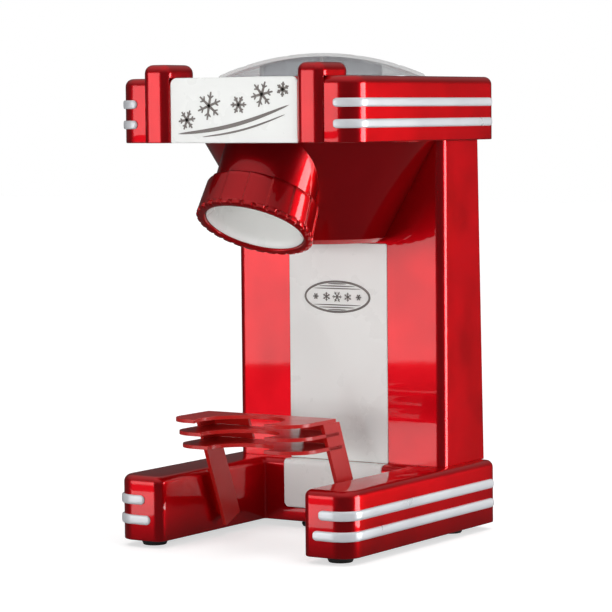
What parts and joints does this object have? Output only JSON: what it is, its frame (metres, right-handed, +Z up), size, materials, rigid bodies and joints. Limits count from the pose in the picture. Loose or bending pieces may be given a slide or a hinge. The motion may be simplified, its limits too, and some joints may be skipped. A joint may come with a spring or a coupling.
{
  "type": "shaved ice machine",
  "caption": "Retro table-top shaved ice machine: open legs, a column, a boxy head with fins and stripes, a tilted chute, a clear lid and a cone holder.",
  "frame": {"origin": "centre of the overall footprint on the surface that the feet stand on", "axes": "+Z up; -Y is the front, where the chute and the cone holder are; +X is to the right as seen from the front"},
  "size_m": [0.1872, 0.1966, 0.3255],
  "materials": {
    "candy_red": "candy red gloss coat with fine metallic flake",
    "panel_white": "warm white gloss",
    "silver_stripe": "satin silver",
    "holder_red": "plain semi-gloss red",
    "foot_rubber": "matt black",
    "dark_plastic": "fine-textured dark grey",
    "clear_lid": "clear, faintly smoky plastic",
    "steel": "brushed stainless steel",
    "gear_plastic": "natural acetal",
    "bronze": "sintered bronze",
    "badge_ink": "grey ornament on a thin plate"
  },
  "bodies": {
    "machine": {"base_shell": "candy_red", "base_floor": "dark_plastic", "floor_screws": "steel", "feet": "foot_rubber", "leg_stripes": "silver_stripe", "base_front_panel": "panel_white", "column_shell": "candy_red", "column_front_panel": "panel_white", "badge_plate": "badge_ink", "rear_cover": "candy_red", "rear_screws": "steel", "cord_gland": "foot_rubber", "head_shell": "candy_red", "head_floor": "candy_red", "fin_left": "candy_red", "fin_right": "candy_red", "head_front_panel": "panel_white", "head_stripes": "silver_stripe", "chute_housing": "candy_red", "chute_liner": "panel_white", "hopper_bowl": "panel_white", "shaving_blade": "steel", "blade_screws": "steel", "upper_bush": "bronze", "lower_bush": "bronze", "gear_frame": "dark_plastic", "gear_cover": "dark_plastic", "frame_screws": "steel", "motor_can": "steel", "switch_body": "dark_plastic"},
    "rotor": {"rotor_paddle": "gear_plastic", "rotor_shaft": "steel", "rotor_gear": "gear_plastic"},
    "motor_rotor": {"motor_shaft": "steel", "motor_pinion": "bronze"},
    "lid": {"lid_dome": "clear_lid", "lid_presser": "clear_lid"},
    "collar": {"grip_ring": "candy_red"},
    "plunger": {"switch_plunger": "dark_plastic"},
    "holder": {"holder_plate_high": "holder_red", "holder_plate_mid": "holder_red", "holder_plate_low": "holder_red", "holder_side_left": "holder_red", "holder_side_right": "holder_red"}
  },
  "joints": [
    {"name": "rotor_spin", "type": "hinge", "parent": "machine", "child": "rotor", "pos_m": [0, 0.02, 0.24], "axis": [0, 0, 1], "continuous": true},
    {"name": "motor_spin", "type": "hinge", "parent": "machine", "child": "motor_rotor", "pos_m": [0, 0.059, 0.2], "axis": [0, 0, 1], "continuous": true},
    {"name": "lid_lift", "type": "slide", "parent": "machine", "child": "lid", "axis": [0, 0, 1], "range_m": [0, 0.06]},
    {"name": "collar_twist", "type": "hinge", "parent": "machine", "child": "collar", "pos_m": [0, -0.0628, 0.2116], "axis": [0, 0.4726, 0.8813], "range_deg": [0, 30]},
    {"name": "plunger_press", "type": "slide", "parent": "machine", "child": "plunger", "axis": [0, 0, 1], "range_m": [-0.0025, 0], "stiffness_N_per_m": 200},
    {"name": "holder_lift", "type": "slide", "parent": "machine", "child": "holder", "axis": [0, -0.3843, 0.9232], "range_m": [0, 0.045]}
  ],
  "couplings": [
    {"joint": "motor_spin", "follows": "rotor_spin", "ratio": -4.5714}
  ]
}
